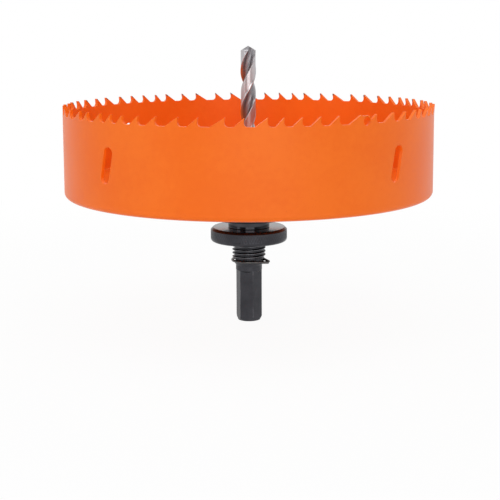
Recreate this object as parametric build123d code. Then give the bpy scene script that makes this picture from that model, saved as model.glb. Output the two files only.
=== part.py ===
from build123d import *
import math
import os

# Hole saw on its arbor, standing on the end of its hex shank.
# Millimetres, +Z up, origin at the centre of the shank's end face. The front is -Y.

# Cup
cup_diameter = 152.0
cup_height = 37.2             # back face to tooth tips
band_thickness = 1.35
back_plate_thickness = 4.8
corner_radius = 2.0           # rounding ground over the weld at the back edge
corner_flats = 2              # the rounding is drawn in this many flats

# Teeth
tooth_depth = 3.4
tooth_set = 0.3               # how far the tips lean out or in
rake_angle = 8.0
back_share = 0.57             # share of a pitch taken by the sloping back
gullet_radius = 1.5           # between the rake face and the gullet floor
gullet_flats = 2              # the round is drawn in this many flats
tooth_root = 0.6              # how deep a tooth is rooted in the band
tooth_groups = 7
group_spacing = [5.6, 7.3, 5.2, 6.3, 4.4, 4.9, 5.3, 5.6, 6.8]   # degrees before each tooth of a group
seam_azimuth = 32.3           # tooth tip beside the seam, degrees right of the front

# Seam of the rolled band
seam_land_length = 5.2
seam_land_drop = 0.5          # how far the land stays below the tips
seam_hole_diameter = 3.2
seam_hole_offset = 2.55       # along the band from the tooth tip beside it
seam_hole_drop = 2.5          # hole centre below the tips

# Slanted slots for clearing plugs
slot_count = 4
slot_width = 4.6
slot_length = 14.0
slot_lean = 13.0              # degrees, top towards the cutting direction
slot_drop = 19.2              # slot centre below the tips
slot_azimuth = 46.4

# Arbor, from the shank's end upwards
hex_across_flats = 9.53
hex_length = 21.5
hex_end_chamfer = 1.3         # on the radius
hex_end_chamfer_height = 2.4
hex_turn = 12.0               # degrees that the front flat is turned to the left
collar_length = 2.0
cone_length = 1.5
cone_top_diameter = 12.8
groove_root_diameter = 11.4
rear_thread_diameter = 14.0
rear_thread_length = 17.1
neck_flat_width = 14.0        # across the two flats that guide the drive plate
nose_thread_diameter = 15.875
nose_length = 10.8
thread_chamfer = 0.8
bore_clearance = 0.03         # drill in its bore, on the radius

# Drive plate and pins
drive_plate_diameter = 33.0
drive_plate_thickness = 11.0
drive_plate_chamfer = 0.8
guide_clearance = 0.06        # plate on the neck, each side
pin_diameter = 5.0
pin_hole_wall = 0.51          # between the nose thread and the pin holes
pin_seat_depth = 8.0          # pressed into the drive plate
pin_proud = 0.4               # past the inside of the back plate
pin_hole_clearance = 0.25     # pin in the back plate, on the radius
pin_hole_count = 4

# Lock nut
nut_diameter = 32.0
nut_flange_thickness = 5.9
nut_top_chamfer = 1.0
nut_bottom_chamfer = 0.8
nut_hub_diameter = 17.3
nut_hub_length = 3.6
nut_clearance = 0.05          # nut on the rear thread, on the radius

# Retaining ring
wire_diameter = 1.1
ring_mean_radius = 6.6
ring_offset = 0.35            # the sprung ring stands off to the left
ring_end_angle = 20.0         # where the back end leaves the round, degrees left of the right-hand side
ring_front_tail = 8.6
ring_back_tail = 7.2
wire_sides = 8                # the fine wire is drawn eight-sided
ring_side_play = 0.1

# Pilot drill
drill_diameter = 6.35
drill_length = 78.0
drill_reach = 49.9            # tip above the end of the nose
drill_point_angle = 118.0
flute_length = 37.5
flute_lead = 34.0
flute_radius = 2.4
web_thickness = 1.5
flute_runout = 7.0
flute_phase = 120.0           # degrees, at the start of the flutes
flute_facets = 5              # flats around one flute
margin_facets = 2             # flats around the body between two flutes
flute_steps = 18              # turned sections along the flutes
drill_flat_depth = 0.5
drill_flat_length = 24.0

# Set screw
screw_diameter = 4.0
screw_socket_across_flats = 2.0
screw_socket_depth = 1.8
screw_recess = 0.7            # outer end below the thread's crest
screw_drop = 2.9              # screw axis below the end of the nose

# Worked-out places
cup_radius = cup_diameter / 2
band_inner_radius = cup_radius - band_thickness
hex_across_corners = hex_across_flats / math.cos(math.radians(30))
pin_hole_radius = pin_diameter / 2 + pin_hole_clearance
pin_circle_radius = nose_thread_diameter / 2 + pin_hole_wall + pin_hole_radius
cone_z = hex_length + collar_length
groove_z = cone_z + cone_length
groove_width = wire_diameter + ring_side_play
rear_thread_z = groove_z + groove_width
drive_plate_z = rear_thread_z + rear_thread_length
nut_hub_z = drive_plate_z - nut_hub_length
nut_z = nut_hub_z - nut_flange_thickness
cup_z = drive_plate_z + drive_plate_thickness
tip_z = cup_z + cup_height
gullet_z = tip_z - tooth_depth
nose_z = cup_z + nose_length
drill_tip_z = nose_z + drill_reach
drill_butt_z = drill_tip_z - drill_length
flat_distance = drill_diameter / 2 - drill_flat_depth
screw_z = nose_z - screw_drop


def turned(*profile):
    """A solid of revolution about Z from (radius, height) points."""
    outline = Polyline(*[(radius, 0, height) for radius, height in profile], close=True)
    return revolve(make_face(outline), Axis.Z)


def disc(radius, bottom, top):
    """A cylinder on the Z axis between two heights."""
    return Pos(0, 0, bottom) * Cylinder(radius, top - bottom, align=(Align.CENTER, Align.CENTER, Align.MIN))


def wall_plane(azimuth, height, radius):
    """A plane on the band: x along the band in the cutting direction, y up, z outwards."""
    angle = math.radians(azimuth - 90)
    outwards = Vector(math.cos(angle), math.sin(angle), 0)
    along = Vector(-math.sin(angle), math.cos(angle), 0)
    return Plane(origin=outwards * radius + Vector(0, 0, height), x_dir=along, z_dir=outwards)


def through_wall(sketch, azimuth, height):
    """A radial prism that passes through the band at one place."""
    depth = 4 * (band_thickness + tooth_set)
    return extrude(wall_plane(azimuth, height, cup_radius - band_thickness / 2) * sketch, depth / 2, both=True)


def cup_envelope():
    """The outside of the cup, with its rounded back edge."""
    corner = [
        (cup_radius - corner_radius * (1 - math.sin(angle)), cup_z + corner_radius * (1 - math.cos(angle)))
        for angle in (math.radians(90 * step / corner_flats) for step in range(corner_flats + 1))
    ]
    return turned((0, cup_z), *corner, (cup_radius, tip_z), (0, tip_z))


def tooth_outline(pitch):
    """One tooth in the plane of the band, with its tip at x = 0 and the gullet floor at y = 0."""
    rake_foot = -tooth_depth * math.tan(math.radians(rake_angle))
    back_foot = -back_share * pitch
    gullet_x = rake_foot + gullet_radius / math.tan(math.radians(90 - rake_angle) / 2)
    gullet = [
        (gullet_x + gullet_radius * math.cos(angle), gullet_radius + gullet_radius * math.sin(angle))
        for angle in (
            math.radians(270 - (90 + rake_angle) * step / gullet_flats) for step in range(gullet_flats + 1)
        )
    ]
    outline = Polyline(
        (back_foot, -tooth_root),
        (gullet_x, -tooth_root),
        *gullet,
        (0, tooth_depth),
        (back_foot, 0),
        close=True,
    )
    return make_face(outline)


def tooth_band(lean):
    """The full ring that teeth of one set are cut from: upright at the root, leaning above the gullets."""
    return turned(
        (band_inner_radius, gullet_z - tooth_root),
        (cup_radius, gullet_z - tooth_root),
        (cup_radius, gullet_z),
        (cup_radius + lean, tip_z),
        (band_inner_radius + lean, tip_z),
        (band_inner_radius, gullet_z),
    )


def make_saw_ring():
    """The rolled band: variable-pitch teeth set out, in and straight, slots and the seam's hole."""
    band = disc(cup_radius, cup_z, gullet_z) & cup_envelope()
    band -= disc(band_inner_radius, cup_z, gullet_z)

    set_bands = [tooth_band(lean) for lean in (tooth_set, -tooth_set, 0)]
    teeth = []
    azimuth = seam_azimuth
    scale = 360 / tooth_groups / sum(group_spacing)
    for number in range(tooth_groups * len(group_spacing)):
        spacing = group_spacing[-1 - number % len(group_spacing)] * scale
        # the seam's tooth closes the last group, so teeth are counted backwards from it
        pitch = math.radians(spacing) * cup_radius
        prism = through_wall(tooth_outline(pitch), azimuth, gullet_z)
        teeth.append(set_bands[number % len(set_bands)] & prism)
        azimuth -= spacing

    seam_height = tooth_depth - seam_land_drop
    seam_land = Polyline(
        (-seam_land_drop, -tooth_root),
        (seam_land_length, -tooth_root),
        (seam_land_length, 0),
        (seam_land_length - seam_height / 2, seam_height),
        (-seam_land_drop, seam_height),
        close=True,
    )
    teeth.append(tooth_band(0) & through_wall(make_face(seam_land), seam_azimuth, gullet_z))
    band += teeth

    slot = Rot(0, 0, 90 - slot_lean) * SlotOverall(slot_length, slot_width)
    slots = [
        through_wall(slot, slot_azimuth + 360 / slot_count * number, tip_z - slot_drop)
        for number in range(slot_count)
    ]
    seam_hole_azimuth = seam_azimuth + math.degrees(seam_hole_offset / cup_radius)
    hole = through_wall(Circle(seam_hole_diameter / 2), seam_hole_azimuth, tip_z - seam_hole_drop)
    return band - slots - hole


def make_back_plate():
    """The thick disc welded inside the band, threaded for the nose and pierced for the pins."""
    plate = disc(band_inner_radius, cup_z, cup_z + back_plate_thickness) & cup_envelope()
    plate -= disc(nose_thread_diameter / 2, cup_z, cup_z + back_plate_thickness)
    hole = Pos(0, 0, cup_z) * Cylinder(pin_hole_radius, 3 * back_plate_thickness)
    return plate - [place * hole for place in PolarLocations(pin_circle_radius, pin_hole_count)]


def make_arbor_body():
    """One turned bar: hex shank, collar, ring groove, rear thread, flatted neck and threaded nose."""
    corner = hex_across_corners / 2
    rear = rear_thread_diameter / 2
    nose = nose_thread_diameter / 2
    body = turned(
        (0, hex_length),
        (corner, hex_length),
        (corner, cone_z),
        (cone_top_diameter / 2, groove_z),
        (groove_root_diameter / 2, groove_z),
        (groove_root_diameter / 2, rear_thread_z),
        (rear - thread_chamfer, rear_thread_z),
        (rear, rear_thread_z + thread_chamfer),
        (rear, drive_plate_z),
        (nose, drive_plate_z),
        (nose, nose_z - thread_chamfer),
        (nose - thread_chamfer, nose_z),
        (0, nose_z),
    )
    flat_cut = Pos(0, neck_flat_width / 2, drive_plate_z) * Box(
        nose_thread_diameter,
        nose_thread_diameter,
        drive_plate_thickness,
        align=(Align.CENTER, Align.MIN, Align.MIN),
    )
    body -= [flat_cut, mirror(flat_cut, Plane.XZ)]

    hexagon = RegularPolygon(hex_across_flats / 2, 6, major_radius=False, rotation=-hex_turn)
    shank = extrude(hexagon, hex_length)
    eased_end = turned(
        (0, 0),
        (corner - hex_end_chamfer, 0),
        (corner, hex_end_chamfer_height),
        (corner, hex_length),
        (0, hex_length),
    )
    body += shank & eased_end

    body -= disc(drill_diameter / 2 + bore_clearance, drill_butt_z, nose_z)
    screw_hole = Plane(origin=(0, 0, screw_z), z_dir=(0, -1, 0)) * Cylinder(
        screw_diameter / 2, nose, align=(Align.CENTER, Align.CENTER, Align.MIN)
    )
    return body - screw_hole


def neck_bore():
    """The double-D hole that slides on the flatted neck."""
    bore = disc(nose_thread_diameter / 2 + guide_clearance, drive_plate_z, cup_z)
    width = neck_flat_width + 2 * guide_clearance
    slab = Pos(0, 0, drive_plate_z) * Box(
        drive_plate_diameter, width, drive_plate_thickness, align=(Align.CENTER, Align.CENTER, Align.MIN)
    )
    return bore & slab


def make_drive_plate():
    """The sliding collar that carries the pins."""
    plate = disc(drive_plate_diameter / 2, drive_plate_z, cup_z)
    plate = chamfer(plate.edges().filter_by(GeomType.CIRCLE), drive_plate_chamfer)
    plate -= neck_bore()
    seat = disc(pin_diameter / 2, cup_z - pin_seat_depth, cup_z)
    return plate - [Pos(side * pin_circle_radius, 0, 0) * seat for side in (-1, 1)]


def make_drive_pin(side):
    """A pin pressed into the drive plate, reaching through the back plate."""
    pin = disc(pin_diameter / 2, cup_z - pin_seat_depth, cup_z + back_plate_thickness + pin_proud)
    return Pos(side * pin_circle_radius, 0, 0) * pin


def make_lock_nut():
    """The flange nut with the hub that bears on the drive plate."""
    bore = rear_thread_diameter / 2 + nut_clearance
    flange = nut_diameter / 2
    hub = nut_hub_diameter / 2
    return turned(
        (bore, nut_z),
        (flange - nut_bottom_chamfer, nut_z),
        (flange, nut_z + nut_bottom_chamfer),
        (flange, nut_hub_z - nut_top_chamfer),
        (flange - nut_top_chamfer, nut_hub_z),
        (hub, nut_hub_z),
        (hub, drive_plate_z),
        (bore, drive_plate_z),
    )


def make_retaining_ring():
    """A sprung wire ring whose two straight ends run out to the right and nearly meet."""
    section = RegularPolygon(wire_diameter / 2, wire_sides, major_radius=False, rotation=180 / wire_sides)
    wire = Plane.XZ * Pos(ring_mean_radius, 0) * section
    front_angle = 270
    ring = Rot(0, 0, ring_end_angle) * revolve(wire, Axis.Z, front_angle - ring_end_angle)
    ring += Rot(0, 0, front_angle) * extrude(wire, -ring_front_tail)
    ring += Rot(0, 0, ring_end_angle) * extrude(wire, ring_back_tail)
    return Pos(-ring_offset, 0, groove_z + wire_diameter / 2) * ring


def drill_section():
    """The corners of the fluted section: two flutes with the margins between them, in flats."""
    radius = drill_diameter / 2
    flute_x = web_thickness / 2 + flute_radius
    edge_x = (radius**2 - flute_radius**2 + flute_x**2) / (2 * flute_x)
    edge_y = math.sqrt(radius**2 - edge_x**2)
    mouth = math.atan2(edge_y, edge_x)
    sweep_start = math.atan2(edge_y, edge_x - flute_x)
    half = []
    for step in range(flute_facets + 1):
        angle = -sweep_start - 2 * (math.pi - sweep_start) * step / flute_facets
        half.append((flute_x + flute_radius * math.cos(angle), flute_radius * math.sin(angle)))
    for step in range(1, margin_facets):
        angle = mouth + (math.pi - 2 * mouth) * step / margin_facets
        half.append((radius * math.cos(angle), radius * math.sin(angle)))
    return half + [(-x, -y) for x, y in half]


def twisted_bar(section, bottom, length, lead, phase, steps):
    """A closed bar of flat facets between turned copies of one section."""
    rings = []
    for step in range(steps + 1):
        turn = math.radians(phase + 360 * length * step / steps / lead)
        rings.append([
            Vector(x * math.cos(turn) - y * math.sin(turn), x * math.sin(turn) + y * math.cos(turn),
                   bottom + length * step / steps)
            for x, y in section
        ])
    faces = [make_face(Polyline(*rings[0], close=True)), make_face(Polyline(*rings[-1], close=True))]
    for lower, upper in zip(rings, rings[1:]):
        for here in range(len(section)):
            after = (here + 1) % len(section)
            faces.append(make_face(Polyline(lower[here], lower[after], upper[after], close=True)))
            faces.append(make_face(Polyline(lower[here], upper[after], upper[here], close=True)))
    return Solid(Shell(faces))


def make_pilot_drill():
    """A two-flute twist drill with a pointed end and a flat on its shank for the set screw."""
    radius = drill_diameter / 2
    flute_z = drill_tip_z - flute_length
    fluted = twisted_bar(drill_section(), flute_z, flute_length, flute_lead, flute_phase, flute_steps)

    runout = turned(
        (0, flute_z),
        (radius, flute_z),
        (web_thickness / 2, flute_z + flute_runout),
        (0, flute_z + flute_runout),
    )
    point_height = radius / math.tan(math.radians(drill_point_angle / 2))
    envelope = turned(
        (0, drill_butt_z),
        (radius, drill_butt_z),
        (radius, drill_tip_z - point_height),
        (0, drill_tip_z),
    )
    drill = (disc(radius, drill_butt_z, flute_z) + fluted + runout) & envelope
    flat_cut = Pos(0, -flat_distance, screw_z) * Box(
        drill_diameter, drill_diameter, drill_flat_length, align=(Align.CENTER, Align.MAX, Align.CENTER)
    )
    return drill - flat_cut


def make_set_screw():
    """The grub screw that bears on the drill's flat."""
    length = nose_thread_diameter / 2 - screw_recess - flat_distance
    outer_end = Plane(origin=(0, -flat_distance - length, screw_z), x_dir=(1, 0, 0), z_dir=(0, 1, 0))
    screw = Cylinder(screw_diameter / 2, length, align=(Align.CENTER, Align.CENTER, Align.MIN))
    socket = extrude(RegularPolygon(screw_socket_across_flats / 2, 6, major_radius=False), screw_socket_depth)
    return outer_end * (screw - socket)


parts = {
    "saw_ring": make_saw_ring(),
    "back_plate": make_back_plate(),
    "arbor_body": make_arbor_body(),
    "drive_plate": make_drive_plate(),
    "drive_pin_left": make_drive_pin(-1),
    "drive_pin_right": make_drive_pin(1),
    "lock_nut": make_lock_nut(),
    "retaining_ring": make_retaining_ring(),
    "pilot_drill": make_pilot_drill(),
    "set_screw": make_set_screw(),
}

os.makedirs("parts", exist_ok=True)
for name, solid in parts.items():
    export_step(solid, f"parts/{name}.step")
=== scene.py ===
import bpy
import bmesh
import math
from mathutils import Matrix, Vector
from mathutils.geometry import delaunay_2d_cdt


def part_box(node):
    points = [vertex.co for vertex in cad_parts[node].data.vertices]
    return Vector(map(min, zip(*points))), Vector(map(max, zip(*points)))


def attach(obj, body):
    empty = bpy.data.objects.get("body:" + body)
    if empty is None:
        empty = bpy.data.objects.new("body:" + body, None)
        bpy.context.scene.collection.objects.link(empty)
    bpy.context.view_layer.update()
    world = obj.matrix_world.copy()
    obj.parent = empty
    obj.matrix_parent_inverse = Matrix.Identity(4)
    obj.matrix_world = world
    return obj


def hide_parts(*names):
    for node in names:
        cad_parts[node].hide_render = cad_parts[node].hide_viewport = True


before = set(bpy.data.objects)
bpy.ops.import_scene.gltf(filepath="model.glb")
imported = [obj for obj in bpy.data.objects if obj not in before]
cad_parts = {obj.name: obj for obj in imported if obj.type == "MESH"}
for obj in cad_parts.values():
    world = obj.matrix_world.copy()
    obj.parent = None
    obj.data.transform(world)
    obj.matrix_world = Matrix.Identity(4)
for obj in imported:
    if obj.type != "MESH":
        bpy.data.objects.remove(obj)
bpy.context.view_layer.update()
mm = 0.001


def levelOf(node, end):  # of a node's bottom (0) or top (1), in millimetres
    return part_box(node)[end][2] / mm


levels = {
    "shoulder": levelOf("retaining_ring", 0),
    "nut": levelOf("lock_nut", 0),
    "neck": levelOf("drive_plate", 0),
    "cup": levelOf("back_plate", 0),
    "plateTop": levelOf("back_plate", 1),
    "nose": levelOf("arbor_body", 1),
    "tips": levelOf("saw_ring", 1),
    "drillButt": levelOf("pilot_drill", 0),
    "drillTip": levelOf("pilot_drill", 1),
}
print("frame loaded")


def placed(name, data):  # a new object in the scene
    item = bpy.data.objects.new(name, data)
    bpy.context.scene.collection.objects.link(item)
    return item


# camera, looking along +Y at the front of the cup
view = {
    "distance": 0.4709,  # in front of the arbor's axis, metres
    "rise": 0.0319,  # above the tooth tips, metres
    "pitch": 7.7,  # degrees below the horizon
    "roll": 0.24,  # degrees
    "lens": 81.94,
    "sensor": 36,
    "shift": (0.004, -0.142),
    "clip": (0.01, 20),
}
lens = bpy.data.cameras.new("camera")
lens.lens, lens.sensor_width = view["lens"], view["sensor"]
lens.shift_x, lens.shift_y = view["shift"]
lens.clip_start, lens.clip_end = view["clip"]
camera = placed("camera", lens)
camera.rotation_mode = "XYZ"
camera.location = (0, -view["distance"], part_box("saw_ring")[1][2] + view["rise"])
camera.rotation_euler = (math.radians(90 - view["pitch"]), math.radians(view["roll"]), 0)
bpy.context.scene.camera = camera
bpy.context.scene.view_settings.view_transform = "Standard"


# shader helper: a socket that takes part in sums
class Strand:
    def __init__(self, tree, socket=None):
        self.tree, self.socket = tree, socket

    def node(self, kind, settings=None, sockets=None, out=0):
        made = self.tree.nodes.new("ShaderNode" + kind)
        for name, value in (settings or {}).items():
            setattr(made, name, value)
        for key, value in (sockets or {}).items():
            if isinstance(value, Strand):
                self.tree.links.new(value.socket, made.inputs[key])
            else:
                made.inputs[key].default_value = value
        return Strand(self.tree, made.outputs[out]) if out is not None else None

    def maths(self, operation, *values):
        return self.node("Math", {"operation": operation}, dict(enumerate(values)))

    def __add__(self, other):
        return self.maths("ADD", self, other)

    def __sub__(self, other):
        return self.maths("SUBTRACT", self, other)

    def __rsub__(self, other):
        return self.maths("SUBTRACT", other, self)

    def __mul__(self, other):
        return self.maths("MULTIPLY", self, other)

    def __truediv__(self, other):
        return self.maths("DIVIDE", self, other)

    def __rtruediv__(self, other):
        return self.maths("DIVIDE", other, self)

    __radd__, __rmul__ = __add__, __mul__

    def hypot(self, other):  # a point's distance from the axis
        return self.maths("SQRT", self * self + other * other)

    def between(self, low, high):  # 0 below low, 1 above high
        settings = {"interpolation_type": "SMOOTHSTEP"}
        return self.node("MapRange", settings, {0: self, 1: low, 2: high})

    def blend(self, first, second):  # this mask mixes two colours
        return self.node("Mix", {"data_type": "RGBA"}, {0: self, 6: first, 7: second}, out=2)

    def bump(self, strength, distance):  # this height raises the surface
        return self.node("Bump", None, {"Strength": strength, "Distance": distance, "Height": self})

    def coordinates(self, kind):
        return self.node("TexCoord", out=kind)

    def axes(self):
        split = self.node("SeparateXYZ", None, {0: self})
        return [Strand(self.tree, output) for output in split.socket.node.outputs]

    def vector(self, x, y, z):
        return self.node("CombineXYZ", None, {0: x, 1: y, 2: z})

    def noise(self, place, scale, detail=2.0, roughness=0.5):
        sockets = {"Vector": place, "Scale": scale, "Detail": detail, "Roughness": roughness}
        return self.node("TexNoise", None, sockets)


def newMaterial(name):
    material = bpy.data.materials.new(name)
    material.use_nodes = True
    material.node_tree.nodes.clear()
    start = Strand(material.node_tree)
    return material, start, start.coordinates("Object")


def endMaterial(material, start, shader):
    surface = start.node("BsdfPrincipled", None, shader)
    start.node("OutputMaterial", None, {"Surface": surface}, out=None)
    return material


# baked enamel on the cup, worn through on the inner faces of the tips
paint = {
    "colour": (0.95, 0.172, 0.009, 1),
    "deep": (0.92, 0.152, 0.006, 1),
    "speck": (0.55, 0.05, 0.004, 1),
    "steel": (0.085, 0.070, 0.06, 1),
    "driftScale": 35.0,
    "mistScale": 420.0,
    "peelScale": 900.0,
    "speckScale": 2600.0,
    "roughness": 0.36,
    "coat": 0.10,
    "wear": (1.15, 0.65),  # starts and is full this far below the tips, millimetres
}


def enamelMaterial():
    material, start, place = newMaterial("orange_enamel")
    x, y, height = place.axes()
    across, along = start.coordinates("Normal").axes()[:2]
    drift = start.noise(place, paint["driftScale"], 3.0)
    mist = start.noise(place, paint["mistScale"])
    peel = start.noise(place, paint["peelScale"], 1.5)
    specks = start.noise(place, paint["speckScale"], 1.0).between(0.70, 0.78)
    top = height.between(*((levels["tips"] - depth) * mm for depth in paint["wear"]))
    inside = ((across * x + along * y) / x.hypot(y) * -1).between(0.2, 0.6)
    chipped = (top * inside + (mist - 0.5) * 0.4).between(0.40, 0.60) * top
    colour = (drift * 0.7 + mist * 0.3).between(0.35, 0.65).blend(paint["deep"], paint["colour"])
    colour = (specks * 0.25).blend(colour, paint["speck"])
    return endMaterial(material, start, {
        "Base Color": chipped.blend(colour, paint["steel"]),
        "Metallic": chipped * 0.85,
        "Roughness": paint["roughness"] + mist * 0.10 + chipped * 0.1,
        "Normal": (peel + drift * 0.4 - chipped * 0.6).bump(0.18, 0.00004),
        "Coat Weight": paint["coat"] - chipped * paint["coat"],
        "Coat Roughness": 0.16,
        "Coat IOR": 1.4,
        "IOR": 1.5,
        "Specular IOR Level": 0.2,
    })


# black oxide on turned steel
blacking = {
    "dark": (0.040, 0.040, 0.045, 1),
    "light": (0.066, 0.066, 0.074, 1),
    "rubbed": (0.30, 0.30, 0.32, 1),
    "lineScale": 9000,
    "cloudScale": 160.0,
    "grainScale": 3200.0,
    "polish": 0.72,  # share of the roughness that polishing takes away
}


def blackedMaterial(name, marks, shine, polishedAbove=None):
    # marks is how strongly the turning lines show; a face may be polished above a height
    material, start, place = newMaterial(name)
    x, y, height = place.axes()
    radius, angle, scale = x.hypot(y), start.maths("ARCTAN2", y, x), blacking["lineScale"]
    turned = start.vector(radius * scale, height * scale, angle * 1.5)
    lines = start.noise(turned, 1.0, 3.0, 0.65)
    cloud = start.noise(place, blacking["cloudScale"], 4.0, 0.6)
    grain = start.noise(place, blacking["grainScale"])
    rub = start.node("Attribute", {"attribute_name": "worn"}, out=2)
    bright = (rub + (cloud - 0.5) * 0.6).between(0.45, 0.8)
    tone = (cloud * 0.6 + lines * 0.4).between(0.3, 0.7)
    colour = tone.blend(blacking["dark"], blacking["light"])
    roughness = shine + cloud * 0.14 - bright * 0.08
    if polishedAbove is not None:
        polished = height.between((polishedAbove - 0.03) * mm, (polishedAbove - 0.01) * mm)
        roughness = roughness * (1 - polished * blacking["polish"])
    return endMaterial(material, start, {
        "Base Color": (bright * 0.6).blend(colour, blacking["rubbed"]),
        "Metallic": 1.0,
        "Roughness": roughness,
        "Normal": (lines + grain * 0.5).bump(marks, 0.00002),
    })


# drawn wire with a thin dark scale
wireFinish = {
    "dark": (0.055, 0.055, 0.06, 1),
    "light": (0.10, 0.098, 0.095, 1),
    "drawnScale": 1400.0,
    "stainScale": 240.0,
    "roughness": 0.22,
}


def springMaterial():
    material, start, place = newMaterial("spring_wire")
    drawn = start.noise(place, wireFinish["drawnScale"], 3.0, 0.6)
    stain = start.noise(place, wireFinish["stainScale"])
    return endMaterial(material, start, {
        "Base Color": stain.between(0.3, 0.7).blend(wireFinish["dark"], wireFinish["light"]),
        "Metallic": 1.0,
        "Roughness": wireFinish["roughness"] + drawn * 0.15,
        "Normal": drawn.bump(0.25, 0.00001),
    })


# ground high-speed steel, with fine wheel marks along the flutes; the flutes' darker colour is
# painted shade in these hollows, and the lands keep the bare ground colour
grinding = {
    # painted shade: the colour of the flutes' hollows, darker than the lands
    "flute": (0.27, 0.262, 0.275, 1),
    "land": (0.46, 0.45, 0.465, 1),
    "brightLand": (0.54, 0.505, 0.51, 1),
    "wheelAcross": 5200,
    "wheelAlong": 700,
    "heatScale": 150.0,
    "roughness": 0.40,
    "landReach": (2.0, 3.0),  # flutes turn into lands between these distances from the axis, where the flutes' painted shade and higher roughness give way
}


def groundMaterial():
    material, start, place = newMaterial("ground_steel")
    x, y, z = place.axes()
    fine, coarse = grinding["wheelAcross"], grinding["wheelAlong"]
    wheel = start.noise(start.vector(x * fine, y * fine, z * coarse), 1.0, 3.0, 0.6)
    heat = start.noise(place, grinding["heatScale"])
    # painted shade mask: 0 in the flutes' hollows, 1 out on the lands
    land = x.hypot(y).between(*(reach * mm for reach in grinding["landReach"]))
    bright = heat.between(0.35, 0.7).blend(grinding["land"], grinding["brightLand"])
    return endMaterial(material, start, {
        "Base Color": land.blend(grinding["flute"], bright),
        "Metallic": 1.0,
        "Roughness": grinding["roughness"] - land * 0.17 + wheel * 0.14,
        "Normal": wheel.bump(0.22, 0.00001),
    })


enamel = enamelMaterial()
blackTurned = blackedMaterial("black_oxide_turned", 0.35, 0.32)
blackDull = blackedMaterial("black_oxide_satin", 0.18, 0.38)
springWire = springMaterial()
groundSteel = groundMaterial()
print("materials made")


# meshes are gathered in millimetres
class Shell:
    def __init__(self):
        self.points, self.faces = [], []

    def row(self, points):
        first = len(self.points)
        self.points += points
        return list(range(first, len(self.points)))

    def skin(self, rows, closed=False, around=True):
        count = len(rows[0])
        for lower, upper in zip(rows, rows[1:] + rows[:1] if closed else rows[1:]):
            for here in range(count if around else count - 1):
                after = (here + 1) % count
                self.faces.append((lower[here], lower[after], upper[after], upper[here]))

    def cap(self, row, centre, around=True):
        middle = self.row([centre])[0]
        count = len(row)
        for here in range(count if around else count - 1):
            self.faces.append((row[here], row[(here + 1) % count], middle))

    def sheet(self, points, triangles):
        row = self.row(points)
        self.faces += [tuple(row[index] for index in triangle) for triangle in triangles]

    def ring(self, radius, height, angles):  # radius may be a function of the angle
        reach = [radius(angle) if callable(radius) else radius for angle in angles]
        return self.row([(r * math.cos(a), r * math.sin(a), height) for r, a in zip(reach, angles)])

    def rings(self, profile, angles):
        return [self.ring(radius, height, angles) for radius, height in profile]


def circleAngles(steps):
    return [2 * math.pi * step / steps for step in range(steps)]


def flatted(reach, flat, grow=0.0):  # a round section with flats to the front and back
    return lambda angle: min(reach, flat / max(0.001, abs(math.sin(angle)))) + grow


def near(value, low, high):  # 0 at low, 1 at high
    return max(0.0, min(1.0, (value - low) / (high - low)))


def eased(corners, closed=False, flats=3):
    # corners are (radius, height) or (radius, height, rounding)
    result = []
    count = len(corners)
    for here, corner in enumerate(corners):
        point = Vector(corner[:2])
        if len(corner) == 2 or (not closed and here in (0, count - 1)):
            result.append(tuple(point))
            continue
        back = (Vector(corners[here - 1][:2]) - point).normalized()
        ahead = (Vector(corners[(here + 1) % count][:2]) - point).normalized()
        half = back.angle(ahead) / 2
        centre = point + (back + ahead).normalized() * corner[2] / math.sin(half)
        start = point + back * corner[2] / math.tan(half) - centre
        end = point + ahead * corner[2] / math.tan(half) - centre
        for step in range(flats + 1):
            result.append(tuple(centre + start.slerp(end, step / flats) * corner[2]))
    return result


def filletPoints(before, corner, after, radius, flats):
    return eased([before, (*corner, radius), after], flats=flats)[1:-1]


def distanceTo(loop, point):
    return min((Vector(corner) - point).length for corner in loop)


def inAnyLoop(loops, face, flat):
    middle = sum((flat[index] for index in face), Vector((0, 0))) / 3
    for loop in loops:
        inside = False
        for (ax, ay), (bx, by) in zip(loop, loop[1:] + loop[:1]):
            crosses = (ay > middle.y) != (by > middle.y)
            if crosses and middle.x < (bx - ax) * (middle.y - ay) / (by - ay) + ax:
                inside = not inside
        if inside:
            return True
    return False


def cutSheet(outline, holes, extra):
    # triangles over a flat outline, left open inside the holes
    pattern, constraints = [], []
    for loop in (outline, *holes):
        first = len(pattern)
        pattern += [Vector(point) for point in loop]
        constraints += [(first + here, first + (here + 1) % len(loop)) for here in range(len(loop))]
    pattern += [Vector(point) for point in extra]
    cut = delaunay_2d_cdt(pattern, constraints, [list(range(len(outline)))], 1, 1e-5)
    flat, triangles = cut[0], cut[2]
    return flat, [face for face in triangles if not inAnyLoop(holes, face, flat)]


def meshOf(shell, name):
    mesh = bpy.data.meshes.new(name)
    mesh.from_pydata([(x * mm, y * mm, z * mm) for x, y, z in shell.points], [], shell.faces)
    work = bmesh.new()
    work.from_mesh(mesh)
    bmesh.ops.remove_doubles(work, verts=work.verts, dist=0.002 * mm)
    bmesh.ops.recalc_face_normals(work, faces=work.faces)
    work.to_mesh(mesh)
    work.free()
    return mesh


def carve(mesh, cutter):
    # cuts one closed mesh out of another
    body, tool = placed("carved", mesh), placed("cutter", cutter)
    cut = body.modifiers.new("cut", "BOOLEAN")
    cut.operation, cut.solver, cut.object = "DIFFERENCE", "EXACT", tool
    whole = body.evaluated_get(bpy.context.evaluated_depsgraph_get())
    result = bpy.data.meshes.new_from_object(whole)
    result.name = mesh.name
    for item in (body, tool):
        bpy.data.objects.remove(item)
    return result


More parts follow.
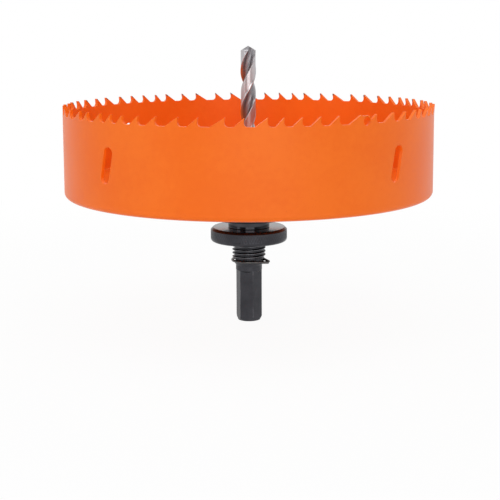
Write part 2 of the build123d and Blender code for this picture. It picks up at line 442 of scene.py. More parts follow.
def settleNormals(mesh, straighten=None):
    # large faces decide how a vertex is shaded, so flats stay flat beside their eased edges
    leaning = [Vector() for vertex in mesh.vertices]
    for polygon in mesh.polygons:
        polygon.use_smooth = True
        for index in polygon.vertices:
            leaning[index] += polygon.normal * polygon.area
    normals = []
    for vertex, lean in zip(mesh.vertices, leaning):
        normal = lean.normalized() if lean.length > 0 else Vector((0, 0, 1))
        normals.append(straighten(vertex.co / mm, normal) if straighten else normal)
    mesh.normals_split_custom_set_from_vertices(normals)


def makePiece(shell, name, body, material, replaced,
              straighten=None, worn=None, cutter=None):
    # straighten may turn a vertex's normal
    # worn is how far the blacking has gone, from 0 to 1, at a distance from the axis and a height
    mesh = meshOf(shell, name)
    if cutter:
        mesh = carve(mesh, meshOf(cutter, "cutter"))
    settleNormals(mesh, straighten)
    if worn:
        rub = mesh.attributes.new("worn", "FLOAT", "POINT")
        points = [vertex.co / mm for vertex in mesh.vertices]
        rub.data.foreach_set("value", [worn(math.hypot(x, y), z) for x, y, z in points])
    mesh.materials.clear()
    mesh.materials.append(material)
    piece = placed(name, mesh)
    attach(piece, body)
    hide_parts(*replaced)
    print(name, len(mesh.polygons), "faces")


# the cup's toothed band
band = {
    "radius": 76.0,
    "thickness": 1.35,
    "corner": 2.0,
    "cornerSteps": 10,
    "footing": 72.0,  # where the band's underside meets the back plate's
    "lap": 0.4,  # how far the underside is sunk in the back plate
    "edge": 0.14,  # eased paint edge
    "steps": 240,
    "rows": 9,  # of points across the wall, which keep its triangles even
    "rowGap": 3.2,
    "rowMargin": 1.0,
}
teeth = {
    "depth": 3.4,
    "set": 0.3,
    "setBehind": 0.5,  # the set begins here, behind the foot
    "setAhead": 2.2,  # and ends here, ahead of the tip
    "rake": 8.0,  # degrees
    "backShare": 0.57,  # of the pitch
    "footRun": 1.2,  # straight edge behind the foot
    "footRound": 0.9,
    "gullet": 1.5,
    "gulletSteps": 8,
    "groups": 7,
    "spacing": [5.6, 7.3, 5.2, 6.3, 4.4, 4.9, 5.3, 5.6, 6.8],
    "seamAzimuth": 32.3,
    "tipRound": 0.1,
    "landLength": 5.2,
    "landDrop": 0.5,
    "landFall": 2.0,  # steepness of the land's end
    "landRounds": (0.15, 0.3),
    "valleyRound": 0.3,
}
slots = {"count": 4, "width": 4.6, "length": 14.0, "lean": 13.0, "drop": 19.2, "azimuth": 46.4}
# the seam's hole is round, but a hair longer than wide, so that its half circles don't meet
seamHole = {"width": 3.2, "length": 3.201, "lean": 0, "drop": 2.5, "offset": 2.55}
bandLength = 2 * math.pi * band["radius"]  # the wall's pattern is as long as one turn


def toothTips():
    # how far round each tip stands and the pitch behind it, both in millimetres, and its set
    scale = 360 / teeth["groups"] / sum(teeth["spacing"])
    azimuth, tips = teeth["seamAzimuth"], []
    for number, share in enumerate(teeth["spacing"][::-1] * teeth["groups"]):
        spacing = share * scale
        lean = (teeth["set"], -teeth["set"], 0)[number % 3]
        tips.append((azimuth, math.radians(spacing) * band["radius"], lean))
        azimuth -= spacing
    tips.sort()
    azimuth, pitch, lean = tips.pop(0)  # the tooth after the seam's comes last, beside it
    tips.append((azimuth + 360, pitch, lean))
    return [(math.radians(azimuth) * band["radius"], pitch, lean) for azimuth, pitch, lean in tips]


def toothBack(u, pitch):
    foot = u - teeth["backShare"] * pitch
    before, tip = (foot - teeth["footRun"], 0.0), (u, teeth["depth"])
    return filletPoints(before, (foot, 0.0), tip, teeth["footRound"], 4)


def toothEdge(u, pitch):
    # one tooth from its back foot to the end of its gullet, in the plane of the band, floor at 0
    depth, radius, turn = teeth["depth"], teeth["gullet"], 90 + teeth["rake"]
    rake = math.radians(teeth["rake"])
    gulletX = -depth * math.tan(rake) + radius / math.tan((math.pi / 2 - rake) / 2)
    gullet = []
    for step in range(teeth["gulletSteps"] + 1):
        angle = math.radians(180 - teeth["rake"] + turn * step / teeth["gulletSteps"])
        gullet.append((u + gulletX + radius * math.cos(angle), radius + radius * math.sin(angle)))
    edge = toothBack(u, pitch)
    return edge + filletPoints(edge[-1], (u, depth), gullet[0], teeth["tipRound"], 3) + gullet


def seamEdge(u, pitch, nextU, nextPitch):
    # the seam's tooth with its land, run into the back of the tooth after it
    depth, length, fall = teeth["depth"], teeth["landLength"], teeth["landFall"]
    height = depth - teeth["landDrop"]
    nextBack = teeth["backShare"] * nextPitch
    slope, nextFoot = depth / nextBack, nextU - nextBack
    crossing = (fall * (u + length) + slope * nextFoot) / (fall + slope)
    tip, nextTip = (u, depth), (nextU, depth)
    land = (u - teeth["landDrop"] * math.tan(math.radians(teeth["rake"])), height)
    end, valley = (u + length - height / fall, height), (crossing, slope * (crossing - nextFoot))
    edge = toothBack(u, pitch)
    edge += filletPoints(edge[-1], tip, land, teeth["tipRound"], 3)
    edge += filletPoints(tip, land, end, teeth["landRounds"][0], 2)
    edge += filletPoints(land, end, valley, teeth["landRounds"][1], 3)
    return edge + filletPoints(end, valley, nextTip, teeth["valleyRound"], 3)


def bandRim(start):
    # the toothed edge as one line, once round the band
    *others, seamTip, nextTip = [tip[:2] for tip in toothTips()]
    rim = [(start, 0.0)]
    for tip in others:
        rim += toothEdge(*tip)
    rim += seamEdge(*seamTip, *nextTip)
    nearTip = nextTip[0] - 0.5  # the last tooth has its back already
    return rim + [point for point in toothEdge(*nextTip) if point[0] > nearTip]


def offsetRim(points, distance, period=0.0):
    # moves a loop sideways; a period is the length after which an open line repeats
    count = len(points)
    moved = []
    for here in range(count):
        before, after = Vector(points[here - 1]), Vector(points[(here + 1) % count])
        if here == 0:
            before.x -= period
        if here == count - 1:
            after.x += period
        point = Vector(points[here])
        one, two = (point - before).normalized(), (after - point).normalized()
        side = Vector((-one.y - two.y, one.x + two.x)).normalized()
        spread = max(0.35, side.dot(Vector((-one.y, one.x))))  # keeps sharp corners near
        moved.append(tuple(point + side * (distance / spread)))
    return moved


def slotLoop(slot, azimuth, start, flats=12):
    # a slot's outline on the wall's pattern, which begins at start
    centre = Vector((math.radians(azimuth) * band["radius"], levels["tips"] - slot["drop"]))
    centre.x = start + (centre.x - start) % bandLength
    lean = math.radians(slot["lean"])
    up = Vector((math.sin(lean), math.cos(lean)))
    across = Vector((up.y, -up.x))
    loop = []
    for end in (1, -1):
        for step in range(flats + 1):
            angle = math.pi * step / flats
            swing = across * math.cos(angle) * end + up * math.sin(angle) * end
            middle = centre + up * end * (slot["length"] - slot["width"]) / 2
            loop.append(tuple(middle + swing * slot["width"] / 2))
    return loop


def makeBand():
    shell = Shell()
    radius, thickness, edge = band["radius"], band["thickness"], band["edge"]
    floor, bandBottom = levels["tips"] - teeth["depth"], levels["cup"] + band["corner"]
    tips = toothTips()
    start = tips[0][0] - teeth["backShare"] * tips[0][1] - teeth["footRun"] / 2
    leans = [
        (u - teeth["backShare"] * pitch - teeth["setBehind"], u + teeth["setAhead"], lean)
        for u, pitch, lean in tips
    ]

    def onWall(u, v, depth):  # depth 0 is the outside of the wall, 1 the inside
        lean = 0.0
        if v > floor:
            for low, high, amount in leans:
                if low <= u <= high or low <= u - bandLength <= high:
                    lean = amount * (v - floor) / teeth["depth"]
                    break
        reach = radius - depth * thickness + lean
        angle = u / radius - math.pi / 2
        return (reach * math.cos(angle), reach * math.sin(angle), v)

    rim = [(x, floor + y) for x, y in bandRim(start)]
    inset = offsetRim(rim, -edge, bandLength)
    for line in (rim, inset):
        line.append((line[0][0] + bandLength, line[0][1]))

    holes = []
    for number in range(slots["count"]):
        holes.append(slotLoop(slots, slots["azimuth"] + 360 / slots["count"] * number, start))
    holeAzimuth = teeth["seamAzimuth"] + math.degrees(seamHole["offset"] / radius)
    holes.append(slotLoop(seamHole, holeAzimuth, start))
    holeInsets = [offsetRim(loop, -edge) for loop in holes]

    # the wall's two sheets are cut from one flat pattern and rolled round
    steps, margin = band["steps"], band["rowMargin"]
    bottomRow = [(start + bandLength * step / steps, bandBottom) for step in range(steps + 1)]
    filling = []
    for level in range(1, band["rows"] + 1):
        height = bandBottom + band["rowGap"] * level
        for step in range(steps // 2):
            point = Vector((start + bandLength * (step + 0.5) / (steps // 2), height))
            clear = all(distanceTo(loop, point) > margin for loop in holeInsets)
            if clear and height < floor - margin:
                filling.append(point)
    flat, kept = cutSheet(bottomRow + inset[::-1], holeInsets, filling)
    for depth in (0, 1):
        shell.sheet([onWall(point.x, point.y, depth) for point in flat], kept)

    # eased edges and the cut faces through the wall
    share, bulge = edge / thickness, 0.3
    for loop, moved in [(rim, inset), *zip(holes, holeInsets)]:
        halfway = [
            (a[0] * (1 - bulge) + b[0] * bulge, a[1] * (1 - bulge) + b[1] * bulge)
            for a, b in zip(loop, moved)
        ]
        lines = (
            (moved, 0), (halfway, bulge * share), (loop, share),
            (loop, 1 - share), (halfway, 1 - bulge * share), (moved, 1),
        )
        rows = [shell.row([onWall(x, y, depth) for x, y in line]) for line, depth in lines]
        shell.skin(rows, around=loop is not rim)

    # rounded back edge, run on under the back plate's rim
    lower, corner = [], band["corner"]
    for step in range(band["cornerSteps"] + 1):
        a = math.pi / 2 * step / band["cornerSteps"]
        lower.append((radius - corner * (1 - math.cos(a)), bandBottom - corner * math.sin(a)))
    footing, inner, lap = band["footing"], radius - thickness, levels["cup"] + band["lap"]
    lower += [(footing, levels["cup"]), (footing, lap), (inner, lap), (inner, bandBottom)]
    angles = [u / radius - math.pi / 2 for u, v in bottomRow]
    shell.skin(shell.rings(lower, angles), around=False)

    def straighten(place, normal):  # the rolled wall shades as a true cylinder
        outwards = Vector((place.x, place.y, 0)).normalized()
        facing = normal.dot(outwards)
        rolled = abs(facing) > 0.93 and place.z > bandBottom - 0.05
        return outwards * math.copysign(1, facing) if rolled else normal

    makePiece(shell, "toothed_band", "root", enamel, ["saw_ring"], straighten)


# the thick disc welded inside the band
backPlate = {
    "reach": 74.65,
    "fillet": 0.8,  # paint in the corner against the band
    "filletSteps": 6,
    "sunk": 0.3,  # overlap with the band's wall
    "nose": 7.95,
    "noseSteps": 96,
    "pinCircle": 11.1975,
    "pinHole": 2.75,
    "pinHoles": 4,
    "pinSteps": 48,
    "edge": 0.25,
    "edgeRound": 0.2,
    "steps": 240,
    "rings": (20, 34, 50, 64),  # of points on both faces, which keep their triangles even
}


def makeBackPlate():
    shell = Shell()
    bottom, top = levels["cup"], levels["plateTop"]
    edge, ease = backPlate["edge"], backPlate["edgeRound"]
    reach, fillet = backPlate["reach"], backPlate["fillet"]

    def loop(x, y, radius, steps):
        return [(x + radius * math.cos(a), y + radius * math.sin(a)) for a in circleAngles(steps)]

    places = [(0, 0, backPlate["nose"], backPlate["noseSteps"])]
    for x, y in loop(0, 0, backPlate["pinCircle"], backPlate["pinHoles"]):
        places.append((x, y, backPlate["pinHole"], backPlate["pinSteps"]))
    filling = [point for ring in backPlate["rings"] for point in loop(0, 0, ring, int(ring * 1.5))]
    wide = [loop(x, y, radius + edge, count) for x, y, radius, count in places]
    footing = band["footing"] + 0.05
    for height, outline in ((bottom, footing), (top, reach - fillet)):
        flat, kept = cutSheet(loop(0, 0, outline, backPlate["steps"]), wide, filling)
        shell.sheet([(point.x, point.y, height) for point in flat], kept)

    # walls of the holes, with eased edges
    wall = eased([(edge, bottom), (0, bottom, ease), (0, top, ease), (edge, top)])
    for x, y, radius, count in places:
        shell.skin([
            shell.row([(*point, height) for point in loop(x, y, radius + grow, count)])
            for grow, height in wall
        ])

    # the rim is sunk in the band's wall, and paint rounds the corner above it
    sunk, low = reach + backPlate["sunk"], bottom + 0.5
    outer = [(footing, bottom), (footing, low), (sunk, low), (sunk, top + fillet)]
    for step in range(backPlate["filletSteps"] + 1):
        angle = math.pi / 2 * step / backPlate["filletSteps"]
        outer.append((reach - fillet * (1 - math.cos(angle)), top + fillet * (1 - math.sin(angle))))
    shell.skin(shell.rings(outer, circleAngles(backPlate["steps"])))
    makePiece(shell, "cup_back_plate", "root", enamel, ["back_plate"])


# the arbor: one turned bar with a hex shank, two threads and a flatted neck
arbor = {
    "acrossFlats": 9.53,
    "hexTurn": 12.0,  # degrees
    "hexLength": 21.5,
    "runout": 0.8,  # the flats end in a short cone
    "cornerReach": 5.46,  # bar size before the flats were cut
    "endReach": 4.0,
    "endBulge": 1.5,
    "endHeight": 2.4,
    "endSteps": 12,
    "collarReach": 5.5,
    "collarLength": 2.0,
    "coneReach": 6.4,
    "grooveReach": 5.7,
    "grooveWidth": 1.2,
    "rearReach": 7.0,
    "rearPitch": 1.5,
    "neckFlat": 7.0,
    "noseReach": 7.9375,
    "nosePitch": 25.4 / 18,
    "threadEase": 0.8,  # bevel at a thread's start
    "bore": 3.205,
    "boreBevel": 0.3,
    "sixth": 20,  # steps in a sixth of a turn
}
# the grub screw that holds the drill, and its place below the nose's end
setScrew = {
    "reach": 2.0,
    "slack": 0.03,
    "drop": 2.9,
    "inner": 2.675,
    "outer": 7.2375,
    "pitch": 0.7,
    "threadDepth": 0.4,
    "socket": 1.0,
    "socketDepth": 1.8,
    "socketBevel": 0.12,
}
# a thread's form from crest to crest: share of the pitch, share of the depth
threadForm = (
    (0, 1), (0.11, 1), (0.14, 0.93), (0.40, 0.07), (0.45, 0),
    (0.67, 0), (0.72, 0.07), (0.97, 0.93), (1, 1),
)


def threadLift(phase):
    for (low, first), (high, second) in zip(threadForm, threadForm[1:]):
        if phase <= high:
            return first + (second - first) * (phase - low) / (high - low)


def threadRows(shell, angles, reach, pitch, bottom, top, limit):
    # rows that follow the helix, stopped at both ends of the thread
    depth = 0.6 * pitch
    rows = []
    for turn in range(-1, math.ceil((top - bottom) / pitch) + 1):
        for stop in threadForm[:-1]:
            points = []
            for angle in angles:
                wound = (angle - angles[0]) / (2 * math.pi)
                z = min(top, max(bottom, bottom + pitch * (turn + stop[0] + wound)))
                lift = threadLift(((z - bottom) / pitch - wound) % 1)
                r = min(reach - depth * (1 - lift), limit(z))
                points.append((r * math.cos(angle), r * math.sin(angle), z))
            rows.append(shell.row(points))
    return rows


def arborAngles():
    # steps that fall on the corners of the hexagon, once round with both ends
    corner = math.degrees(math.acos(arbor["acrossFlats"] / 2 / arbor["cornerReach"]))
    flats = arbor["sixth"] - 2
    angles = []
    for sixth in range(6):
        base = 60 * sixth - arbor["hexTurn"]
        angles.append(base)
        angles += [base + 30 - corner + 2 * corner * step / flats for step in range(flats + 1)]
    angles.append(360 - arbor["hexTurn"])
    return [math.radians(angle) for angle in angles]


def makeArbor():
    shell = Shell()
    angles = arborAngles()
    flat, ease, runout = arbor["acrossFlats"] / 2, arbor["threadEase"], arbor["runout"]
    hexTop, endHeight = arbor["hexLength"], arbor["endHeight"]
    rearBottom = levels["shoulder"] + arbor["grooveWidth"]

    def shankReach(angle, z):
        lean = (math.degrees(angle) + arbor["hexTurn"]) % 60 - 30
        reach = min(flat / math.cos(math.radians(lean)), arbor["cornerReach"])
        if z < endHeight:
            dome = math.sqrt(1 - (1 - z / endHeight) ** 2)
            reach = min(reach, arbor["endReach"] + arbor["endBulge"] * dome)
        rise = near(z, hexTop - runout, hexTop)
        return max(reach, flat - 0.05 + (arbor["collarReach"] - flat + 0.05) * rise)

    endSteps = arbor["endSteps"]
    heights = [endHeight * (step / endSteps) ** 1.6 for step in range(endSteps + 1)]
    heights += [hexTop - runout * (1 - step / 10) for step in range(11)]
    rows = [shell.ring(lambda angle: shankReach(angle, z), z, angles) for z in heights]
    shell.cap(rows[0], (0, 0, 0), around=False)

    profile = eased([
        (arbor["collarReach"], hexTop),
        (arbor["collarReach"], hexTop + arbor["collarLength"], 0.3),
        (arbor["coneReach"], levels["shoulder"], 0.12),
        (arbor["grooveReach"], levels["shoulder"], 0.1),
        (arbor["grooveReach"], rearBottom, 0.1),
        (arbor["rearReach"] - ease, rearBottom),
    ])[1:]
    rows += shell.rings(profile, angles)
    rows += threadRows(
        shell, angles, arbor["rearReach"], arbor["rearPitch"], rearBottom, levels["neck"],
        lambda z: arbor["rearReach"] - ease + (z - rearBottom),
    )
    neck = flatted(arbor["noseReach"], arbor["neckFlat"])
    for z in (levels["neck"], levels["neck"] + 0.01, levels["cup"] - 0.01, levels["cup"]):
        rows.append(shell.ring(neck, z, angles))
    rows += threadRows(
        shell, angles, arbor["noseReach"], arbor["nosePitch"], levels["cup"], levels["nose"],
        lambda z: arbor["noseReach"] - ease + (levels["nose"] - z),
    )
    boreTop = eased([
        (arbor["noseReach"] - ease, levels["nose"], 0.1),
        (arbor["bore"] + arbor["boreBevel"], levels["nose"], 0.05),
        (arbor["bore"], levels["nose"] - arbor["boreBevel"], 0.05),
        (arbor["bore"], levels["cup"]),
    ], closed=True)
    rows += shell.rings(boreTop, angles)
    shell.skin(rows, around=False)
    shell.cap(rows[-1], (0, 0, levels["cup"]), around=False)

    # the grub screw's hole
    cutter = Shell()
    screwHeight, ends = levels["nose"] - setScrew["drop"], []
    for y in (-arbor["bore"] + 0.6, -arbor["noseReach"] - 1):
        ends.append(cutter.row([
            (setScrew["reach"] * math.cos(a), y, screwHeight + setScrew["reach"] * math.sin(a))
            for a in circleAngles(40)
        ]))
        cutter.cap(ends[-1], (0, y, screwHeight))
    cutter.skin(ends)

    def worn(reach, z):  # on the hexagon's corners, its end and the crests
        if z < hexTop:
            return 0.55 * near(reach, 5.30, 5.37) + 0.4 * near(endHeight - z, 0.8, 2.4)
        if z < levels["neck"]:
            return 0.75 * near(reach, 6.80, 6.98)
        return 0.6 * near(reach, 7.75, 7.93)

    makePiece(shell, "arbor", "root", blackTurned, ["arbor_body"],
              worn=worn, cutter=cutter)


def makeSetScrew():
    # built along +Z, then laid to point to the front
    shell = Shell()
    length, pitch = setScrew["outer"] - setScrew["inner"], setScrew["pitch"]
    reach = setScrew["reach"] - setScrew["slack"]
    root, crest = reach - setScrew["threadDepth"], reach - 0.02

    def socket(angle):
        lean = (math.degrees(angle) + 30) % 60 - 30
        return setScrew["socket"] / math.cos(math.radians(lean))

    profile = [(0.6, 0), (reach - 0.5, 0)]
    for turn in range(int((length - 0.8) / pitch)):
        z = 0.4 + pitch * turn
        profile += [(root, z), (crest, z + 0.3), (crest, z + 0.4), (root, z + pitch)]
    profile += [(root, length - 0.3), (reach - 0.55, length)]
    floor, bevel = length - setScrew["socketDepth"], setScrew["socketBevel"]
    profile.append((lambda angle: socket(angle) + bevel, length))
    profile += [(socket, length - bevel), (socket, floor)]
    rows = shell.rings(profile, circleAngles(60))
    shell.skin(rows)
    shell.cap(rows[-1], (0, 0, floor - 0.4))
    shell.cap(rows[0], (0, 0, 0))
    axis = levels["nose"] - setScrew["drop"]
    shell.points = [(x, -setScrew["inner"] - z, axis + y) for x, y, z in shell.points]
    makePiece(shell, "grub_screw", "root", blackTurned, ["set_screw"])


# the lock nut: a knurled flange with a hub that bears on the drive plate
nut = {
    "reach": 16.0,
    "flange": 5.9,
    "hub": 8.65,
    "bore": 7.05,
    "bottomRound": 1.2,
    "chamfer": 1.0,
    "knurls": 90,
    "knurlAngle": 30,  # degrees, both ways from the axis
    "knurlDepth": 0.12,
    "knurlMargin": 1.15,  # plain rim at both edges
    "knurlRows": 14,
    "steps": 720,
}


def makeNut():
    shell = Shell()
    bottom, flange, top = levels["nut"], levels["nut"] + nut["flange"], levels["neck"]
    low, high = bottom + nut["knurlMargin"] + 0.2, flange - nut["knurlMargin"]
    helix = math.tan(math.radians(nut["knurlAngle"])) * nut["knurls"] / (2 * math.pi * nut["reach"])

    def knurled(z):
        fade = nut["knurlDepth"] * near(z, low, low + 0.3) * near(high - z, 0, 0.3)

        def reach(angle):
            turn = angle * nut["knurls"] / (2 * math.pi)
            groove = max(1 - abs((turn + side * helix * z) % 1 - 0.5) / 0.2 for side in (1, -1))
            return nut["reach"] - fade * max(0.0, groove)
        return reach

    rim = []
    for step in range(nut["knurlRows"] + 1):
        z = low + (high - low) * step / nut["knurlRows"]
        rim.append((knurled(z), z))
    before = eased([
        (nut["bore"], top - 0.2),
        (nut["bore"], bottom + 0.4),
        (nut["bore"] + 0.5, bottom, 0.1),
        (nut["reach"], bottom, nut["bottomRound"]),
        (nut["reach"], low),
    ], flats=5)
    after = eased([
        (nut["reach"], high),
        (nut["reach"], flange - nut["chamfer"], 0.08),
        (nut["reach"] - nut["chamfer"], flange, 0.08),
        (nut["hub"], flange, 0.25),
        (nut["hub"], top, 0.3),
        (nut["bore"], top),
    ], flats=5)
    shell.skin(shell.rings(before[:-1] + rim + after[1:], circleAngles(nut["steps"])), closed=True)

    def worn(reach, z):  # on the rim's two edges
        upper = 0.2 * near(z, flange - 1.0, flange - 0.45)
        edge = max(upper, near(bottom + 1.0 - z, 0, 0.6))
        return 0.4 * edge * near(reach, 15.2, 15.7)

    finish = blackedMaterial("black_oxide_nut", 0.15, 0.26, polishedAbove=flange)
    makePiece(shell, "knurled_lock_nut", "nut", finish, ["lock_nut"], worn=worn)


# the drive plate that slides on the neck, and the pins pressed into it
drivePlate = {
    "reach": 16.5,
    "bevel": 0.8,
    "bevelRound": 0.15,
    "bore": 7.9975,
    "boreBevel": 0.25,
    "flat": 7.06,
    "steps": 180,
}
drivePin = {"reach": 2.5, "foot": 0.2, "round": 0.6, "axis": 0.05, "steps": 64}


def makeDrivePlate():
    shell = Shell()
    bottom, top, ease = levels["neck"], levels["cup"], drivePlate["boreBevel"]
    reach, bevel, rounding = drivePlate["reach"], drivePlate["bevel"], drivePlate["bevelRound"]
    bore, mouth = (flatted(drivePlate["bore"], drivePlate["flat"], grow) for grow in (0, ease))
    outside = eased([
        (reach - bevel, bottom, rounding),
        (reach, bottom + bevel, rounding),
        (reach, top - bevel, rounding),
        (reach - bevel, top, rounding),
    ], closed=True)
    profile = [(mouth, bottom), *outside, (mouth, top), (bore, top - ease), (bore, bottom + ease)]
    shell.skin(shell.rings(profile, circleAngles(drivePlate["steps"])), closed=True)
    makePiece(shell, "pin_drive_plate", "plate", blackDull, ["drive_plate"],
              worn=lambda reach, z: 0.45 * near(reach, 15.9, 16.4))


def makeDrivePin(node):
    shell = Shell()
    low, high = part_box(node)
    x, bottom, top = (low[0] + high[0]) / 2 / mm, low[2] / mm, high[2] / mm
    profile = eased([
        (drivePin["axis"], bottom),
        (drivePin["reach"], bottom, drivePin["foot"]),
        (drivePin["reach"], top, drivePin["round"]),
        (drivePin["axis"], top),
    ], flats=5)
    rows = shell.rings(profile, circleAngles(drivePin["steps"]))
    shell.skin(rows)
    shell.cap(rows[0], (0, 0, bottom))
    shell.cap(rows[-1], (0, 0, top))
    shell.points = [(x + px, py, pz) for px, py, pz in shell.points]
    makePiece(shell, "dressed_" + node, "plate", blackTurned, [node],
              worn=lambda reach, z: near(z, top - 0.6, top - 0.1))


# the wire ring in the groove, with two straight ends that nearly meet
wireRing = {
    "reach": 0.55,
    "mean": 6.6,
    "offset": 0.35,
    "endAngle": 20.0,  # degrees, where the bend into the back end starts
    "frontTail": 8.6,
    "backTail": 7.2,
    "steps": 80,
    "tailSteps": 12,
    "sides": 14,
    # rounding of both ends: share of the wire's reach, distance from the end
    "ends": ((0.55, 0.0), (0.85, 0.06), (1.0, 0.2)),
}


def makeWireRing():
    shell = Shell()
    mean, first = wireRing["mean"], math.radians(wireRing["endAngle"])
    steps, tailSteps = wireRing["steps"], wireRing["tailSteps"]
    cosine, sine = math.cos(first), math.sin(first)
    path = []
    for step in range(tailSteps + 1):  # in along the back end
        far = wireRing["backTail"] * (1 - step / tailSteps)
        path.append((mean * cosine + far * sine, mean * sine - far * cosine))
    for step in range(1, steps + 1):
        angle = first + (math.radians(270) - first) * step / steps
        path.append((mean * math.cos(angle), mean * math.sin(angle)))
    path += [(wireRing["frontTail"] * step / tailSteps, -mean) for step in range(1, tailSteps + 1)]
    height = levels["shoulder"] + wireRing["reach"]

    def section(here, swell, along):
        before, after = Vector(path[max(0, here - 1)]), Vector(path[min(len(path) - 1, here + 1)])
        ahead = (after - before).normalized()
        x, y = Vector(path[here]) + ahead * along
        r = wireRing["reach"] * swell
        points = []
        for a in circleAngles(wireRing["sides"]):
            px = x - ahead.y * r * math.cos(a) - wireRing["offset"]
            points.append((px, y + ahead.x * r * math.cos(a), height + r * math.sin(a)))
        return shell.row(points)

    rows = [section(0, swell, along) for swell, along in wireRing["ends"]]
    rows += [section(here, 1.0, 0.0) for here in range(1, len(path) - 1)]
    rows += [section(len(path) - 1, swell, -along) for swell, along in reversed(wireRing["ends"])]
    shell.skin(rows)
    for row, here in ((rows[0], 0), (rows[-1], -1)):
        shell.cap(row, (path[here][0] - wireRing["offset"], path[here][1], height))
    makePiece(shell, "wire_ring", "root", springWire, ["retaining_ring"])


# the pilot drill: two flutes, margins, a long point and a flat for the grub screw
drill = {
    "reach": 3.175,
    "relief": 0.1,  # body below the margins
    "margin": 12.0,  # degrees
    "fluteLength": 37.5,
    "fluteSteps": 90,
    "lead": 34.0,
    "fluteRadius": 2.4,
    "web": 1.5,
    "runout": 7.0,
    "phase": 120.0,  # degrees
    "pointAngle": 118.0,
    "pointShares": (0.9, 0.7, 0.5, 0.3, 0.12),  # rows on the point, as shares of its reach
    "buttBevel": 0.3,
    "flatLength": 24.0,  # the grub screw's inner end gives the flat's depth
}


def drillAngles():
    # half a turn of steps, close together at the flute's two edges
    centre = drill["web"] / 2 + drill["fluteRadius"]
    edgeX = (drill["reach"] ** 2 - drill["fluteRadius"] ** 2 + centre ** 2) / (2 * centre)
    mouth = math.degrees(math.acos(edgeX / drill["reach"]))
    flute = [-mouth + 2 * mouth * step / 26 for step in range(27)]
    flute[1:1] = [-mouth + 0.6]
    flute[-1:-1] = [mouth - 0.6]
    marginStart = 180 - mouth - drill["margin"]
    land = [mouth + 0.8] + [mouth + (marginStart - 2 - mouth) * step / 12 for step in range(1, 13)]
    land += [marginStart, marginStart + drill["margin"] / 2, 180 - mouth - 0.6]
    return mouth, flute + land


def makeDrill():
    shell = Shell()
    mouth, half = drillAngles()
    angles = [math.radians(angle + turn) for turn in (0, 180) for angle in half]
    centre, core = drill["web"] / 2 + drill["fluteRadius"], drill["web"] / 2
    tip, butt = levels["drillTip"], levels["drillButt"]
    fluteStart = tip - drill["fluteLength"]
    cone = math.tan(math.radians(drill["pointAngle"] / 2))
    screwHeight = levels["nose"] - setScrew["drop"]
    flatLow, flatHigh = (screwHeight + side * drill["flatLength"] / 2 for side in (-1, 1))

    def sectionReach(angle):
        lean = (math.degrees(angle) + 90) % 180 - 90
        reach = drill["reach"] - (0 if -mouth - drill["margin"] <= lean <= 0 else drill["relief"])
        if abs(lean) < mouth + 0.01:
            side = math.radians(lean)
            dip = drill["fluteRadius"] ** 2 - (centre * math.sin(side)) ** 2
            reach = min(reach, centre * math.cos(side) - math.sqrt(max(0.0, dip)))
        return reach

    def surface(angle, z):
        rise = near(z, fluteStart, fluteStart + drill["runout"])
        return max(sectionReach(angle), drill["reach"] + (core - drill["reach"]) * rise)

    def place(angle, reach, z):
        turn = math.radians(drill["phase"] + 360 * max(0.0, z - fluteStart) / drill["lead"]) + angle
        if flatLow < z < flatHigh and math.sin(turn) < 0:
            reach = min(reach, setScrew["inner"] / -math.sin(turn))
        return (reach * math.cos(turn), reach * math.sin(turn), z)

    bevel = drill["buttBevel"]
    rows = [shell.row([place(angle, drill["reach"] - bevel, butt) for angle in angles])]
    for z in (butt + bevel, flatLow, flatLow + 0.01, flatHigh - 0.01, flatHigh, fluteStart - 0.5):
        rows.append(shell.row([place(angle, drill["reach"], z) for angle in angles]))
    for step in range(drill["fluteSteps"] + 1):
        z = fluteStart + drill["fluteLength"] * step / drill["fluteSteps"]
        points = []
        for angle in angles:
            low = z
            for again in range(3):  # settles on the cone of the point
                low = min(z, tip - surface(angle, low) / cone)
            points.append(place(angle, surface(angle, low), low))
        rows.append(shell.row(points))
    for share in drill["pointShares"]:
        points = []
        for angle in angles:
            reach = sectionReach(angle)
            x, y = place(angle, share * reach, tip - reach / cone)[:2]
            points.append((x, y, tip - share * reach / cone))
        rows.append(shell.row(points))
    shell.skin(rows)
    shell.cap(rows[0], (0, 0, butt))
    shell.cap(rows[-1], (0, 0, tip))
    makePiece(shell, "twist_drill", "root", groundSteel, ["pilot_drill"])


makeBand()
makeBackPlate()
makeArbor()
makeSetScrew()
makeNut()
makeDrivePlate()
for node in ("drive_pin_left", "drive_pin_right"):
    makeDrivePin(node)
makeWireRing()
makeDrill()
print("pieces made")


# floor, world and lamps
studio = {
    "floorColour": (0.80, 0.80, 0.80, 1),
    "floorGlow": 0.94,  # share of plain white in the floor near the tool
    "glow": (0.14, 0.36),  # it grows to all white between these distances, metres
    "ambient": 0.60,  # the room's own light
    "frontShade": (0.20, 0.20, 0.21, 1),
    "front": (0.20, 0.85),  # the room darkens between these shares of the way to the front
    "lampTarget": (0, 0, 0.06),
}
lamps = {
    # place, size, power and whether the lamp is mirrored
    "top_softbox": ((0.0, -0.15, 1.1), (1.2, 0.9), 4.2, True),
    "left_softbox": ((-0.9, -0.55, 0.5), (0.35, 0.9), 1.6, True),
    "front_fill": ((0.15, -1.3, 0.40), (1.2, 0.7), 7.2, True),
    "back_fill": ((-0.3, 1.3, 0.45), (1.0, 0.6), 4.0, False),
}
white = (1, 1, 1, 1)


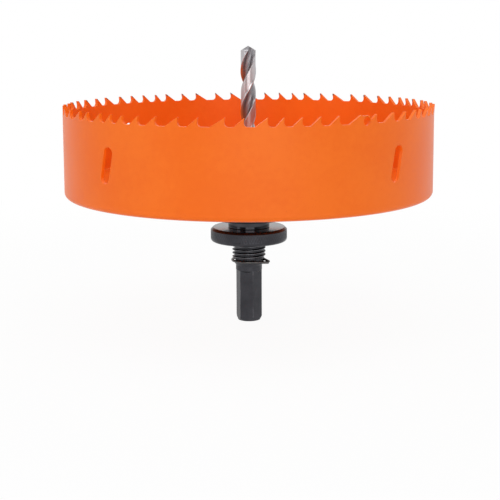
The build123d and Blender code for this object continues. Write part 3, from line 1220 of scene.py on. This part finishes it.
def seenRays(start):
    # masks of the camera's own rays, and of these with the rays by a mirror or through glass
    kinds = ("Is Camera Ray", "Is Glossy Ray", "Is Transmission Ray")
    direct, mirrored, through = [start.node("LightPath", out=kind) for kind in kinds]
    return direct, start.maths("MAXIMUM", start.maths("MAXIMUM", direct, mirrored), through)


def makeFloor():
    mesh = bpy.data.meshes.new("floor")
    mesh.from_pydata([(-4, -4, 0), (4, -4, 0), (4, 6, 0), (-4, 6, 0)], [], [(0, 1, 2, 3)])
    floor = placed("floor", mesh)
    material, start, place = newMaterial("studio_floor")
    x, y = place.axes()[:2]
    far = x.hypot(y).between(*studio["glow"])
    seen = seenRays(start)[1]
    matt = start.node("BsdfDiffuse", None, {"Color": studio["floorColour"]})
    glow = start.node("Emission", None, {"Color": white, "Strength": 1.0})
    share = seen * (studio["floorGlow"] + far * (1 - studio["floorGlow"]))
    lit = start.node("MixShader", None, {0: share, 1: matt, 2: glow})
    below = start.node("NewGeometry", out="Backfacing")  # clear from below, to show the underside
    clear = start.node("BsdfTransparent")
    surface = start.node("MixShader", None, {0: below, 1: lit, 2: clear})
    start.node("OutputMaterial", None, {"Surface": surface}, out=None)
    mesh.materials.append(material)


def makeWorld():
    world = bpy.data.worlds.new("studio")
    bpy.context.scene.world = world
    world.use_nodes = True
    world.node_tree.nodes.clear()
    start = Strand(world.node_tree)
    direct, seen = seenRays(start)
    depth = start.coordinates("Generated").axes()[1]
    front = (0 - depth).between(*studio["front"])
    room = front.blend(white, studio["frontShade"])
    strength = seen + (1 - seen) * studio["ambient"]
    shade = start.node("Background", None, {0: direct.blend(room, white), 1: strength})
    start.node("OutputWorld", None, {"Surface": shade}, out=None)


def makeLamp(name, place, size, power, mirrored):
    lamp = bpy.data.lights.new(name, "AREA")
    lamp.shape, lamp.size, lamp.size_y, lamp.energy = "RECTANGLE", size[0], size[1], power
    holder = placed(name, lamp)
    holder.location = place
    facing = Vector(studio["lampTarget"]) - Vector(place)
    holder.rotation_euler = facing.to_track_quat("-Z", "Y").to_euler()
    holder.visible_camera = False
    holder.visible_glossy = mirrored


makeFloor()
makeWorld()
for name, settings in lamps.items():
    makeLamp(name, *settings)
print("studio made")
